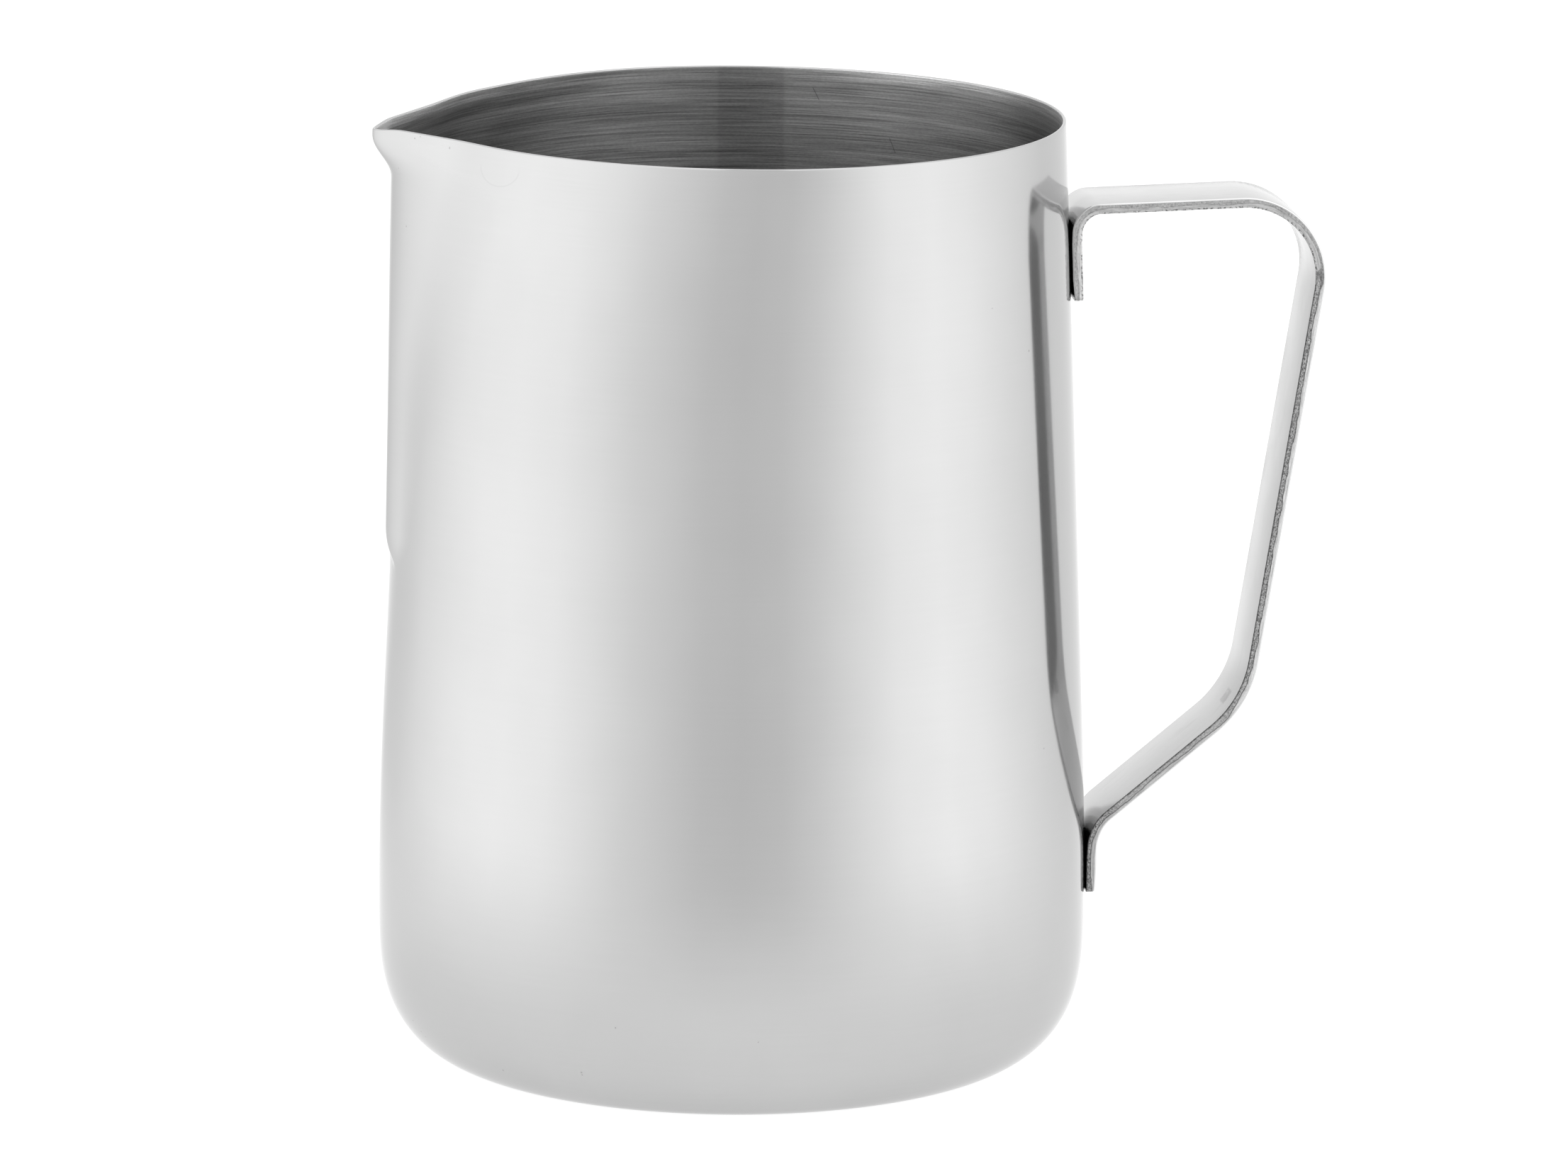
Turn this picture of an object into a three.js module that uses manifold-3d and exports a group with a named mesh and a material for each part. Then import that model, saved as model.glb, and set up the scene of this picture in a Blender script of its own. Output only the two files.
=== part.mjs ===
// Milk frothing pitcher, about two litres: a jug pressed from one sheet of stainless steel, and a
// flat steel strap bent into a handle and spot welded to the wall by its two feet.
// Millimetres, +Z up. The origin is the centre of the flat base, and the handle points along +X.
import * as THREE from "three";
import { mergeVertices } from "three/addons/utils/BufferGeometryUtils.js";
import Module from "manifold-3d";

const wasm = await Module();
wasm.setup();

// ---- Driving dimensions ----
const rimHeight = 172.9;
const wall = 0.65; // sheet thickness, measured straight out from the jug's axis
const gap = 0.3; // clearance kept between neighbouring pieces

// The round body: flat base, soft corner, slight belly, then a straight taper up to the rim.
const baseRadius = 47.4; // edge of the flat disc that the jug stands on
const bellyRadius = 64.4; // widest outer radius
const bellyHeight = 28.8; // height of that widest place
const cornerSpread = 1.85; // superellipse exponents of the corner between base and belly
const cornerRise = 3.26;
const bellyBend = 747; // radius of the long arc from the belly into the taper
const taper = 0.03905; // how much the radius shrinks per millimetre of height above the belly

// The pouring spout: a V pressed out of the wall, with a ridge that ends in a flared lip.
const spoutAngle = THREE.MathUtils.degToRad(184.1); // direction of the ridge, seen from above
const ridgeFoot = 99.5; // height where the straight ridge begins
const ridgeFootRadius = 63.8; // its distance from the axis there
const ridgeLean = 0.0162; // how much the ridge comes in per millimetre of height
const ridgeEndRadius = 17; // the ridge runs out into the wall below on this arc
const lipStart = 163; // height where the ridge begins to flare
const lipTop = 171.7; // height where the flare is complete
const lipReach = 3.7; // how far the flare carries the lip outwards
const flankSlopeFoot = 0.4; // fall of the spout's flanks from the ridge, per millimetre sideways
const flankSlopeRim = 0.69;
const flankSteepens = 125; // height above which the flanks grow steeper towards the rim
const flankTurn = 23; // how fast the flanks bend away inwards beyond their nearest point
const noseFoot = 3.8; // roundness of the ridge low down, below the lip and at the rim
const noseNeck = 10.5;
const noseLip = 1.7;
const noseWidens = [120, 155]; // heights between which the ridge grows rounder
const tipDip = 0.7; // how far the rim dips at the very tip of the lip
const tipDipAngle = THREE.MathUtils.degToRad(7); // the dip has faded this far round from the ridge

// Above a height the pressing also draws in the wall beside the spout. On each side: how far at the
// rim, the angle from the ridge up to which it is drawn in fully, and the angle where that ends.
const pinchStart = 131;
const pinchBack = { depth: 3.8, full: 45, end: 90 }; // towards +Y
const pinchFront = { depth: 2.8, full: 40, end: 105 }; // towards -Y

// The handle: its line on the finger side as x, z corners, from the upper foot to the lower one.
const strapWidth = 18.7;
const strapThickness = 1.85;
const strapCorners = [
  [62.8, 139.8],
  [62.18, 155.7],
  [106.9, 157.15],
  [92.3, 65.7],
  [64.7, 42.9],
  [64.7, 30.1],
];
const strapBends = [3.3, 13, 19.4, 8.1]; // bend radius on the finger side at each inner corner

// Spot welds: two nuggets on the centre line of each foot.
const weldRadius = 1.3;
const weldThickness = 0.7;
const upperWeldHeights = [144.4, 148.6];
const lowerWeldHeights = [34.4, 38.3];

// Fineness of the meshes.
const bodySegments = 76;
const spoutCrowding = 0.58; // how strongly the segments crowd together at the spout
const bendSegments = 7;
const weldSegments = 24;

// ---- Materials ----
function polishedSteel() {
  return new THREE.MeshStandardMaterial({ color: 0xd4d5d6, roughness: 0.12, metalness: 1 });
}

function strapSteel() {
  return new THREE.MeshStandardMaterial({ color: 0xcfd0d1, roughness: 0.25, metalness: 1 });
}

function weldSteel() {
  return new THREE.MeshStandardMaterial({ color: 0x9b9894, roughness: 0.5, metalness: 1 });
}

// ---- The jug's shape ----
const bellyTop = bellyHeight + taper * bellyBend;

// Outer radius of the round body at a height.
function roundRadius(z) {
  if (z <= bellyHeight) {
    const drop = Math.pow(1 - z / bellyHeight, cornerRise);
    return baseRadius + (bellyRadius - baseRadius) * Math.pow(1 - drop, 1 / cornerSpread);
  }
  const rise = Math.min(z, bellyTop) - bellyHeight;
  const bent = bellyRadius - (rise * rise) / (2 * bellyBend);
  return bent - taper * Math.max(z - bellyTop, 0);
}

// The ridge of the spout: its distance from the axis, flank slope and roundness at a height.
function ridgeAt(z) {
  const below = Math.max(ridgeFoot - z, 0);
  const runOut = (below * below) / (2 * ridgeEndRadius);
  const flare = THREE.MathUtils.smoothstep(z, lipStart, lipTop);
  const up = Math.max(z - flankSteepens, 0) / (rimHeight - flankSteepens);
  const widening = THREE.MathUtils.smoothstep(z, ...noseWidens);
  const nose = THREE.MathUtils.lerp(noseFoot, noseNeck, widening);
  return {
    reach: ridgeFootRadius - ridgeLean * (z - ridgeFoot) - runOut + lipReach * flare,
    slope: THREE.MathUtils.lerp(flankSlopeFoot, flankSlopeRim, up),
    nose: THREE.MathUtils.lerp(nose, noseLip, flare),
  };
}

// Distance from the axis to the spout's flank at an angle from the ridge. In plan a flank is a
// hyperbola as far as its point nearest the axis, and beyond that it bends away inwards.
function flankRadius(angle, { reach, slope, nose }) {
  const nearest = Math.atan(slope);
  const along = Math.cos(Math.min(angle, nearest));
  const across = slope * Math.sin(Math.min(angle, nearest));
  const apex = reach + slope * nose;
  const rest = apex * apex - Math.pow(slope * nose, 2);
  const inside = Math.pow(apex * along, 2) - (along * along - across * across) * rest;
  const straight = rest / (apex * along + Math.sqrt(inside));
  return straight - flankTurn * Math.pow(Math.max(angle - nearest, 0), 2);
}

// The larger of two lengths, with the corner where they cross rounded over a width.
function softMax(a, b, width) {
  const near = Math.max(width - Math.abs(a - b), 0) / width;
  return Math.max(a, b) + (near * near * width) / 4;
}

// How far the wall beside the spout is drawn in; positive angles are on the -Y side of the ridge.
function pinchAt(angle, z) {
  const { depth, full, end } = angle > 0 ? pinchFront : pinchBack;
  const height = Math.max(z - pinchStart, 0) / (rimHeight - pinchStart);
  const beyond = THREE.MathUtils.radToDeg(Math.abs(angle)) - full;
  const fade = THREE.MathUtils.clamp(beyond / (end - full), 0, 1);
  return depth * Math.pow(height, 1.5) * Math.pow(Math.cos((fade * Math.PI) / 2), 2);
}

// How far the pressing moves the wall outwards at an angle from the ridge and a height.
function spoutOffset(angle, z) {
  const lowest = ridgeFoot - ridgeEndRadius;
  if (z < lowest) return 0;
  const round = roundRadius(z);
  const drawn = round - pinchAt(angle, z);
  const blend = THREE.MathUtils.mapLinear(z, lowest, rimHeight, 0.3, 1.6);
  return softMax(drawn, flankRadius(Math.abs(angle), ridgeAt(z)), blend) - round;
}

// How far the rim dips around the tip of the lip.
function dipAt(angle, z) {
  const beside = 1 - THREE.MathUtils.smoothstep(Math.abs(angle), 0, tipDipAngle);
  return tipDip * beside * THREE.MathUtils.smoothstep(z, lipStart, rimHeight);
}

// Heights of the rings of vertices, closest together where the wall curves.
function ringHeights() {
  const heights = [];
  const cornerRings = 9;
  for (let i = 0; i <= cornerRings; i++) {
    heights.push(bellyHeight * (1 - Math.cos((i / cornerRings) * (Math.PI / 2))));
  }
  heights.push(42, bellyTop, 76);
  const spoutRings = [90, 93, 96, 99.5, 108, 118, 129, 140, 151, 158];
  const lipRings = [lipStart, 165.2, 167.4, 169.6, lipTop, rimHeight];
  return heights.concat(spoutRings, lipRings);
}

// Closed section of the round shell: up the outside, over the rim and down the inside.
function shellProfile() {
  const heights = ringHeights();
  const outside = heights.map((z) => new THREE.Vector2(roundRadius(z), z));
  const inside = heights
    .filter((z) => z > wall)
    .map((z) => new THREE.Vector2(innerRadius(z), z))
    .reverse();
  const floorEdge = new THREE.Vector2(baseRadius, wall);
  return [new THREE.Vector2(0, 0), ...outside, ...inside, floorEdge, new THREE.Vector2(0, wall)];
}

// The inner face: the wall's thickness is measured radially high up and vertically at the floor.
function innerRadius(z) {
  const lifted = roundRadius(Math.max(z - wall, 0));
  return Math.min(roundRadius(z) - wall, lifted);
}

// ---- Sub-parts ----
function jugBody() {
  const geometry = new THREE.LatheGeometry(shellProfile(), bodySegments);
  geometry.rotateX(Math.PI / 2);
  const place = geometry.getAttribute("position");
  for (let i = 0; i < place.count; i++) {
    const radius = Math.hypot(place.getX(i), place.getY(i));
    const z = place.getZ(i);
    const even = Math.atan2(place.getY(i), place.getX(i));
    const angle = even - spoutCrowding * Math.sin(even);
    const moved = radius > 0 ? radius + spoutOffset(angle, z) : 0;
    place.setX(i, moved * Math.cos(angle + spoutAngle));
    place.setY(i, moved * Math.sin(angle + spoutAngle));
    place.setZ(i, z - dipAt(angle, z));
  }
  return named("jug_body", geometry, polishedSteel());
}

// Points along a line of corners, with each inner corner rounded by its bend.
function bentLine(corners, bends) {
  const points = corners.map(([x, z]) => new THREE.Vector2(x, z));
  const line = [points[0]];
  for (let i = 1; i < points.length - 1; i++) {
    const back = points[i - 1].clone().sub(points[i]).normalize();
    const ahead = points[i + 1].clone().sub(points[i]).normalize();
    const half = Math.acos(back.dot(ahead)) / 2;
    const radius = bends[i - 1];
    const bisector = back.clone().add(ahead).normalize();
    const centre = points[i].clone().addScaledVector(bisector, radius / Math.sin(half));
    const start = points[i].clone().addScaledVector(back, radius / Math.tan(half));
    const turn = (Math.PI - 2 * half) * Math.sign(ahead.cross(back));
    for (let step = 0; step <= bendSegments; step++) {
      line.push(start.clone().rotateAround(centre, (turn * step) / bendSegments));
    }
  }
  line.push(points[points.length - 1]);
  return line;
}

// The same line moved sideways, to its left, by a distance.
function shiftedLine(line, distance) {
  return line.map((point, i) => {
    const before = line[Math.max(i - 1, 0)];
    const after = line[Math.min(i + 1, line.length - 1)];
    const along = after.clone().sub(before).normalize();
    return new THREE.Vector2(point.x - along.y * distance, point.y + along.x * distance);
  });
}

// A geometry as a manifold-3d solid.
function solidOf(geometry) {
  const bare = new THREE.BufferGeometry();
  bare.setAttribute("position", geometry.getAttribute("position"));
  bare.setIndex(geometry.getIndex());
  const merged = mergeVertices(bare, 1e-4);
  const vertProperties = new Float32Array(merged.getAttribute("position").array);
  const triVerts = new Uint32Array(merged.getIndex().array);
  return new wasm.Manifold(new wasm.Mesh({ numProp: 3, vertProperties, triVerts }));
}

function geometryOf(solid) {
  const mesh = solid.getMesh();
  const geometry = new THREE.BufferGeometry();
  geometry.setAttribute("position", new THREE.BufferAttribute(mesh.vertProperties, 3));
  geometry.setIndex(new THREE.BufferAttribute(mesh.triVerts, 1));
  return geometry;
}

// A disc with its axis along +X, from x outwards by a depth.
function discAt(radius, x, z, depth) {
  const disc = new THREE.CylinderGeometry(radius, radius, depth, weldSegments);
  disc.rotateZ(Math.PI / 2);
  disc.translate(x + depth / 2, 0, z);
  return disc;
}

// Where each weld nugget begins, just outside the wall.
const welds = [
  ...upperWeldHeights.map((z, i) => ({ name: `upper_weld_${i + 1}`, z })),
  ...lowerWeldHeights.map((z, i) => ({ name: `lower_weld_${i + 1}`, z })),
].map((weld) => ({ ...weld, x: roundRadius(weld.z) + gap }));

function strapOutline() {
  const fingerSide = bentLine(strapCorners, strapBends);
  const farSide = shiftedLine(fingerSide, strapThickness).reverse();
  return new THREE.Shape([...fingerSide, ...farSide]);
}

// The strap, with a shallow pocket in the back of its feet for each weld nugget.
function handleStrap() {
  const depth = strapWidth;
  const bar = new THREE.ExtrudeGeometry(strapOutline(), { depth, bevelEnabled: false });
  bar.rotateX(Math.PI / 2);
  bar.translate(0, strapWidth / 2, 0);
  let solid = solidOf(bar);
  for (const { x, z } of welds) {
    const pocket = discAt(weldRadius + gap, x - gap, z, weldThickness + 2 * gap);
    solid = solid.subtract(solidOf(pocket));
  }
  return named("handle_strap", geometryOf(solid), strapSteel());
}

function weldNugget({ name, x, z }) {
  return named(name, discAt(weldRadius, x, z, weldThickness), weldSteel());
}

function named(name, geometry, material) {
  const mesh = new THREE.Mesh(geometry, material);
  mesh.name = name;
  return mesh;
}

// ---- Assembly ----
const pitcher = new THREE.Group();
pitcher.add(jugBody());
pitcher.add(handleStrap());
welds.forEach((weld) => pitcher.add(weldNugget(weld)));

export default pitcher;
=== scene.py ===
import math

import bpy
import numpy as np
from mathutils import Matrix, Vector


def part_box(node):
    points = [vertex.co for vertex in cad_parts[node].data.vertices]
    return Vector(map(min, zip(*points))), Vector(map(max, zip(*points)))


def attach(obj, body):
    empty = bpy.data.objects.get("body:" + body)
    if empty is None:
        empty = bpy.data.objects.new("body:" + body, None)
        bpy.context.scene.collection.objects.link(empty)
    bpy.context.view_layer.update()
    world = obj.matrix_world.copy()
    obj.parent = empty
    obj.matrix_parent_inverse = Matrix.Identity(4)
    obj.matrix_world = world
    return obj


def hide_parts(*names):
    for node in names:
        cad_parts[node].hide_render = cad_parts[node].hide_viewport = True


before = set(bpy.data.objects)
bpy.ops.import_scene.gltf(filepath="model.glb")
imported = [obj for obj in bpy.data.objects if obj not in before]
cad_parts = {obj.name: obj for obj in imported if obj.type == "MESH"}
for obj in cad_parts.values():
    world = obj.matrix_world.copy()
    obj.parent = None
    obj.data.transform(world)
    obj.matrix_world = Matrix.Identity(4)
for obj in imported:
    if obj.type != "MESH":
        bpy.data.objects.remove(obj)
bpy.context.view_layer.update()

# Lengths below are in millimetres, in the part's own frame: +Z up, handle along +X.
MM = 0.001

# ---- Camera ----
CAMERA_TURN = math.radians(6.44)  # the camera stands this far round from straight in front
CAMERA_DISTANCE = 1932.9
CAMERA_HEIGHT = 484.9
CAMERA_PITCH = math.radians(11.655)
CAMERA_YAW = math.radians(0.272)
CAMERA_ROLL = math.radians(0.453)
CAMERA_LENS = 249.34  # millimetres, on a sensor 36 wide
SENSOR_WIDTH = 36.0

# ---- The jug's shape, as in the CAD model ----
RIM_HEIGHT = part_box("jug_body")[1].z / MM
WALL = 0.65  # thickness of the sheet
BASE_RADIUS = 47.4  # edge of the flat disc that the jug stands on
BELLY_RADIUS = 64.4  # widest outer radius
BELLY_HEIGHT = 28.8  # height of that widest place
CORNER_SPREAD = 1.85  # superellipse exponents of the corner between base and belly
CORNER_RISE = 3.26
BELLY_BEND = 747.0  # radius of the long arc from the belly into the taper
TAPER = 0.03905  # how much the radius shrinks per millimetre of height above the belly
BELLY_TOP = BELLY_HEIGHT + TAPER * BELLY_BEND

SPOUT_ANGLE = math.radians(184.1)  # direction of the ridge, seen from above
RIDGE_FOOT = 99.5  # height where the straight ridge begins
RIDGE_FOOT_RADIUS = 63.8  # its distance from the axis there
RIDGE_LEAN = 0.0162  # how much the ridge comes in per millimetre of height
RIDGE_END_RADIUS = 17.0  # the ridge runs out into the wall below on this arc
LIP_START = 163.0  # height where the ridge begins to flare
LIP_TOP = 171.7  # height where the flare is complete
LIP_REACH = 3.7  # how far the flare carries the lip outwards
FLANK_SLOPE_FOOT = 0.4  # fall of the spout's flanks from the ridge, per millimetre sideways
FLANK_SLOPE_RIM = 0.69
FLANK_STEEPENS = 125.0  # height above which the flanks grow steeper towards the rim
FLANK_TURN = 23.0  # how fast the flanks bend away inwards beyond their nearest point
NOSE_FOOT = 3.8  # roundness of the ridge low down, below the lip and at the rim
NOSE_NECK = 10.5
NOSE_LIP = 1.7
NOSE_WIDENS = (120.0, 155.0)  # heights between which the ridge grows rounder

# Above a height the pressing also draws in the wall beside the spout. On each side: how far at the
# rim, the degrees from the ridge up to which it is drawn in fully, and the degrees where that ends.
PINCH_START = 131.0
PINCH_BACK = (3.8, 45.0, 90.0)  # towards +Y
PINCH_FRONT = (2.8, 40.0, 105.0)  # towards -Y

# The rim dips a little at the tip of the lip.
TIP_DIP = 0.7
TIP_DIP_ANGLE = math.radians(7)  # the dip has faded this far round from the ridge

# The shallow dent where the pressing of the ridge ends.
DENT_DEPTH = 0.34
DENT_WIDTH = 17.0  # degrees from its middle to each side
DENT_HEIGHT = 88.5  # height of its deepest place, and how far it reaches above and below that
DENT_ABOVE = 9.0
DENT_BELOW = 26.0

# ---- The handle strap ----
strap_low, strap_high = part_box("handle_strap")
STRAP_WIDTH = (strap_high.y - strap_low.y) / MM
STRAP_THICKNESS = 1.85
# Its line on the finger side as x, z corners, from the upper foot to the lower one.
STRAP_CORNERS = [
    (62.5, 139.8), (61.9, 155.7), (106.9, 157.15), (92.3, 65.7), (64.45, 42.75), (64.45, 30.1),
]
STRAP_BENDS = [3.3, 13.0, 19.4, 8.1]  # bend radius on the finger side at each inner corner
FOOT_CURVE = 0.3  # how far the sides of a foot bend back round the jug's wall
FOOT_CURVE_FADES = [(10.5, 15.5), (6.5, 12.0)]  # distance from each end where that fades out
FOOT_THINNING = (0.3, 3.4)  # the shear squeezed the very end thinner, and how far up that reaches
FOOT_CORNER = 1.3  # radius of the two corners at the end of each foot
ROLLED_EDGE = 0.34  # radius of the edges that the shear rolled over
CUT_EDGE = 0.12  # radius of the edges that it left crisp

# Distances along the strap from its upper end, over which one look gives way to the next.
UPPER_FOOT_ENDS = (9.0, 18.0)
PAINTED_HIGHLIGHT_STARTS = (14.0, 20.0)  # the rolled corners carry a painted highlight from here on
GRIP_STARTS = (58.0, 70.0)  # here the torn side of the cut edge changes over too
EDGE_SMOOTHS = (138.0, 154.0)  # past here the edge is streaked more than torn
GRIP_ENDS = (140.0, 150.0)
LOWER_FOOT_STARTS = (171.0, 176.0)
LOWER_FOOT_DARKENS = (172.0, 177.0)
TOOL_MARK = (144.6, -3.0)  # along the strap and across it, the middle of a worn patch
TOOL_MARK_HALF = (1.7, 2.2)  # half its length and half its width

# ---- Marks on the steel, as degrees round from the handle and height ----
# Each pit also has its size.
PITS = [
    (-166.1, 171.9, 1.0), (-164.9, 172.4, 0.8), (-157.8, 171.3, 1.2), (-170.7, 165.8, 0.8),
    (-168.7, 155.6, 1.0), (-163.6, 10.8, 0.8), (-161.7, 9.2, 1.0), (-160.8, 8.4, 0.7),
    (-139.1, 6.7, 1.2), (-121.9, 9.3, 1.2), (-121.9, 8.8, 1.0), (-115.0, 18.8, 1.0),
    (-92.0, 17.1, 0.7), (-47.6, 145.2, 0.8), (-37.0, 136.0, 0.8), (-34.9, 63.4, 0.9),
]
PIT_RADIUS = 0.22
CRESCENT = (-143.6, 169.7, 5.0)  # a faint half ring scratched beside the spout, and its radius
CRESCENT_FLAT = 1.5  # how much wider than high it is
CRESCENT_EDGE = (0.28, 0.05)  # distances from its line over which it comes up
CRESCENT_ENDS = (0.6, -1.4)  # heights from its centre over which it comes up
INSIDE_SCRATCHES = [((69.7, 169.1), (68.6, 166.9)), ((55.0, 160.6), (53.9, 158.0))]
SCRATCH_EDGE = (0.14, 0.04)  # distances from its middle over which a scratch comes up

# ---- The steel ----
STEEL_TONE = 0.48  # the steel's own reflectance
EDGE_TINT = 0.86  # steel seen edge on gains less brightness than a perfect mirror would
PAINTED_SHADE_FOOT_HEIGHT = 3.2  # the outside is painted darker below this height, a painted shade for the shaded floor that the base reflects
PAINTED_SHADE_FOOT_TONE = 0.8  # down to this share of its tone at the base
INSIDE_TONE = 0.34  # reflectance of the brushed inside
PAINTED_DARK_REFLECTION_BAND = (81.0, 6.0)  # a painted reflection: an upright band inside painted darker where it faces the dark camera side, its middle and half width in degrees
PAINTED_DARK_REFLECTION_TONE = 0.84
PAINTED_SHADE_END = (14.0, 30.0)  # degrees round from the handle over which the painted shade inside ends
PAINTED_SHADE_SIDE = 220.0  # degrees round from the handle that the painted shade's other end is measured back from
PAINTED_SHADE_TONE = 0.74
PAINTED_LIGHT_RIM_BAND = (2.6, 0.7)  # distances below the rim over which the inside is painted brighter, a band of painted light
PAINTED_LIGHT_RIM_SIDES = (18.0, 46.0)  # distances sideways over which that band comes up
PAINTED_LIGHT_RIM_GAIN = 1.3
PAINTED_LIGHT_UPPER_INSIDE = (22.0, 4.0)  # distances below the rim over which the inside is painted a little lighter, painted light towards the rim
PAINTED_LIP_HIGHLIGHT = (9.5, 2.5)  # distances from the lip's tip over which the inside is painted brighter, a painted highlight
PAINTED_LIP_HIGHLIGHT_GAIN = 1.7

WELD_NODES = ["upper_weld_1", "upper_weld_2", "lower_weld_1", "lower_weld_2"]

# ---- Fineness of the meshes ----
JUG_COLUMNS = 288
SPOUT_CROWDING = 0.6  # how closely the columns crowd towards the spout
ROW_STEP = 1.75  # height between the rows up the taper
FINE_STEP = 0.62  # at the ridge's end and at the lip
FINE_ROWS = (86, 104)  # heights of the fine rows at the ridge's end
CORNER_TURNS = np.linspace(0, math.pi / 2, 46)
FLOOR_RADII = np.linspace(4, BASE_RADIUS, 12)[:-1]
RIM_TURNS = np.linspace(0, math.pi, 13)
RIM_ROUNDING = WALL * 0.46  # height of the rounded edge at the top of the rim
CREST_ROWS = 5  # rows of faces from the top of the rim inwards that are still polished
STRAP_STEP = 2.0
SECTION_STEPS = 5  # steps round each corner of the strap's section
FOOT_CORNER_TURNS = np.linspace(0, math.pi / 2, 9)

# ---- The studio ----
# Brightness of the studio round the jug, by degrees round from the left as the camera sees it. It lights
# the world and is also painted into the floor's colour and glow.
AROUND = [
    (-90, 1.2), (-60, 1.03), (-40, 1.27), (-30, 1.42), (-20, 1.54), (-10, 1.64), (0, 1.71), (14, 1.74),
    (31, 1.66), (45, 1.49), (57, 1.31), (70, 1.16), (81, 1.035), (93, 0.99), (105, 1.035),
    (117, 1.19), (130, 1.42), (143, 1.63), (160, 1.73), (175, 1.64), (188, 1.5), (204, 1.335),
    (220, 1.19), (245, 1.17), (270, 1.2),
]
PAINTED_NEAR_FLOOR_LIGHT = 1.3
PAINTED_NEAR_FLOOR_EDGE = (0.09, 0.33)  # metres from the axis over which the painted light near the jug gives way
FLOOR_GLOW = 0.7  # share of its painted brightness that comes up through the light table as glow
FLOOR_ALBEDO = 0.21  # of the rest, its colour for each unit of painted brightness
# Elevations over which the studio round the jug gives way to the lights overhead.
SKY_LOW, SKY_HIGH = math.radians(14), math.radians(30)
SKY_FRONT, SKY_BACK = 1.6, 1.2  # brightness of the lights overhead, in front and behind
SKY_GAP = 0.8  # of the gap between them, straight in front
SKY_GAP_EDGE = (0.962, 0.985)  # cosines of the angle from straight in front at its two edges
SKY_TOP = 1.4  # straight overhead
SKY_TOP_FROM = math.radians(50)  # elevation from which that is reached


def smoothstep(x, low, high):
    t = np.clip((x - low) / (high - low), 0.0, 1.0)
    return t * t * (3 - 2 * t)


def round_radius(z):
    """Outer radius of the round body at a height."""
    corner = 1 - np.power(np.clip(1 - z / BELLY_HEIGHT, 0, 1), CORNER_RISE)
    low = BASE_RADIUS + (BELLY_RADIUS - BASE_RADIUS) * np.power(corner, 1 / CORNER_SPREAD)
    rise = np.clip(z, BELLY_HEIGHT, BELLY_TOP) - BELLY_HEIGHT
    high = BELLY_RADIUS - rise**2 / (2 * BELLY_BEND) - TAPER * np.maximum(z - BELLY_TOP, 0)
    return np.where(z <= BELLY_HEIGHT, low, high)


def ridge_at(z):
    """Reach of the spout's ridge, slope of its flanks and roundness of its nose at a height."""
    run_out = np.maximum(RIDGE_FOOT - z, 0) ** 2 / (2 * RIDGE_END_RADIUS)
    flare = smoothstep(z, LIP_START, LIP_TOP)
    up = np.maximum(z - FLANK_STEEPENS, 0) / (RIM_HEIGHT - FLANK_STEEPENS)
    nose = NOSE_FOOT + (NOSE_NECK - NOSE_FOOT) * smoothstep(z, *NOSE_WIDENS)
    reach = RIDGE_FOOT_RADIUS - RIDGE_LEAN * (z - RIDGE_FOOT) - run_out + LIP_REACH * flare
    slope = FLANK_SLOPE_FOOT + (FLANK_SLOPE_RIM - FLANK_SLOPE_FOOT) * up
    return reach, slope, nose + (NOSE_LIP - nose) * flare


def flank_radius(side, z):
    """Distance from the axis to the spout's flank: a hyperbola, then bending away inwards."""
    reach, slope, nose = ridge_at(z)
    nearest = np.arctan(slope)
    along = np.cos(np.minimum(side, nearest))
    across = slope * np.sin(np.minimum(side, nearest))
    apex = reach + slope * nose
    rest = apex**2 - (slope * nose) ** 2
    inside = (apex * along) ** 2 - (along**2 - across**2) * rest
    straight = rest / (apex * along + np.sqrt(np.maximum(inside, 0)))
    return straight - FLANK_TURN * np.maximum(side - nearest, 0) ** 2


def soft_max(a, b, width):
    near = np.maximum(width - np.abs(a - b), 0) / width
    return np.maximum(a, b) + near * near * width / 4


def pinch_at(angle, z):
    """How far the wall beside the spout is drawn in, front (-Y) and back (+Y)."""
    depth, full, end = (np.where(angle > 0, f, b) for f, b in zip(PINCH_FRONT, PINCH_BACK))
    height = np.maximum(z - PINCH_START, 0) / (RIM_HEIGHT - PINCH_START)
    fade = np.clip((np.degrees(np.abs(angle)) - full) / (end - full), 0, 1)
    return depth * height**1.5 * np.cos(fade * math.pi / 2) ** 2


def dent_at(angle, z):
    """The wall just below the ridge's end is drawn in a little."""
    across = np.clip(np.abs(np.degrees(angle)) / DENT_WIDTH, 0, 1)
    reach = np.where(z > DENT_HEIGHT, DENT_ABOVE, DENT_BELOW)
    along = np.clip(np.abs(z - DENT_HEIGHT) / reach, 0, 1)
    return DENT_DEPTH * np.cos(across * math.pi / 2) ** 2 * np.cos(along * math.pi / 2) ** 2


def dip_at(angle, z):
    """How far the rim dips around the tip of the lip."""
    beside = 1 - smoothstep(np.abs(angle), 0, TIP_DIP_ANGLE)
    return TIP_DIP * beside * smoothstep(z, LIP_START, RIM_HEIGHT)


def spout_offset(angle, z):
    """How far the pressing moves the wall outwards at an angle from the ridge and a height."""
    lowest = RIDGE_FOOT - RIDGE_END_RADIUS
    drawn = round_radius(z) - pinch_at(angle, z)
    blend = 0.3 + 1.3 * np.clip((z - lowest) / (RIM_HEIGHT - lowest), 0, 1)
    pressed = soft_max(drawn, flank_radius(np.abs(angle), z), blend)
    return np.where(z < lowest, 0.0, pressed - round_radius(z)) - dent_at(angle, z)


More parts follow.
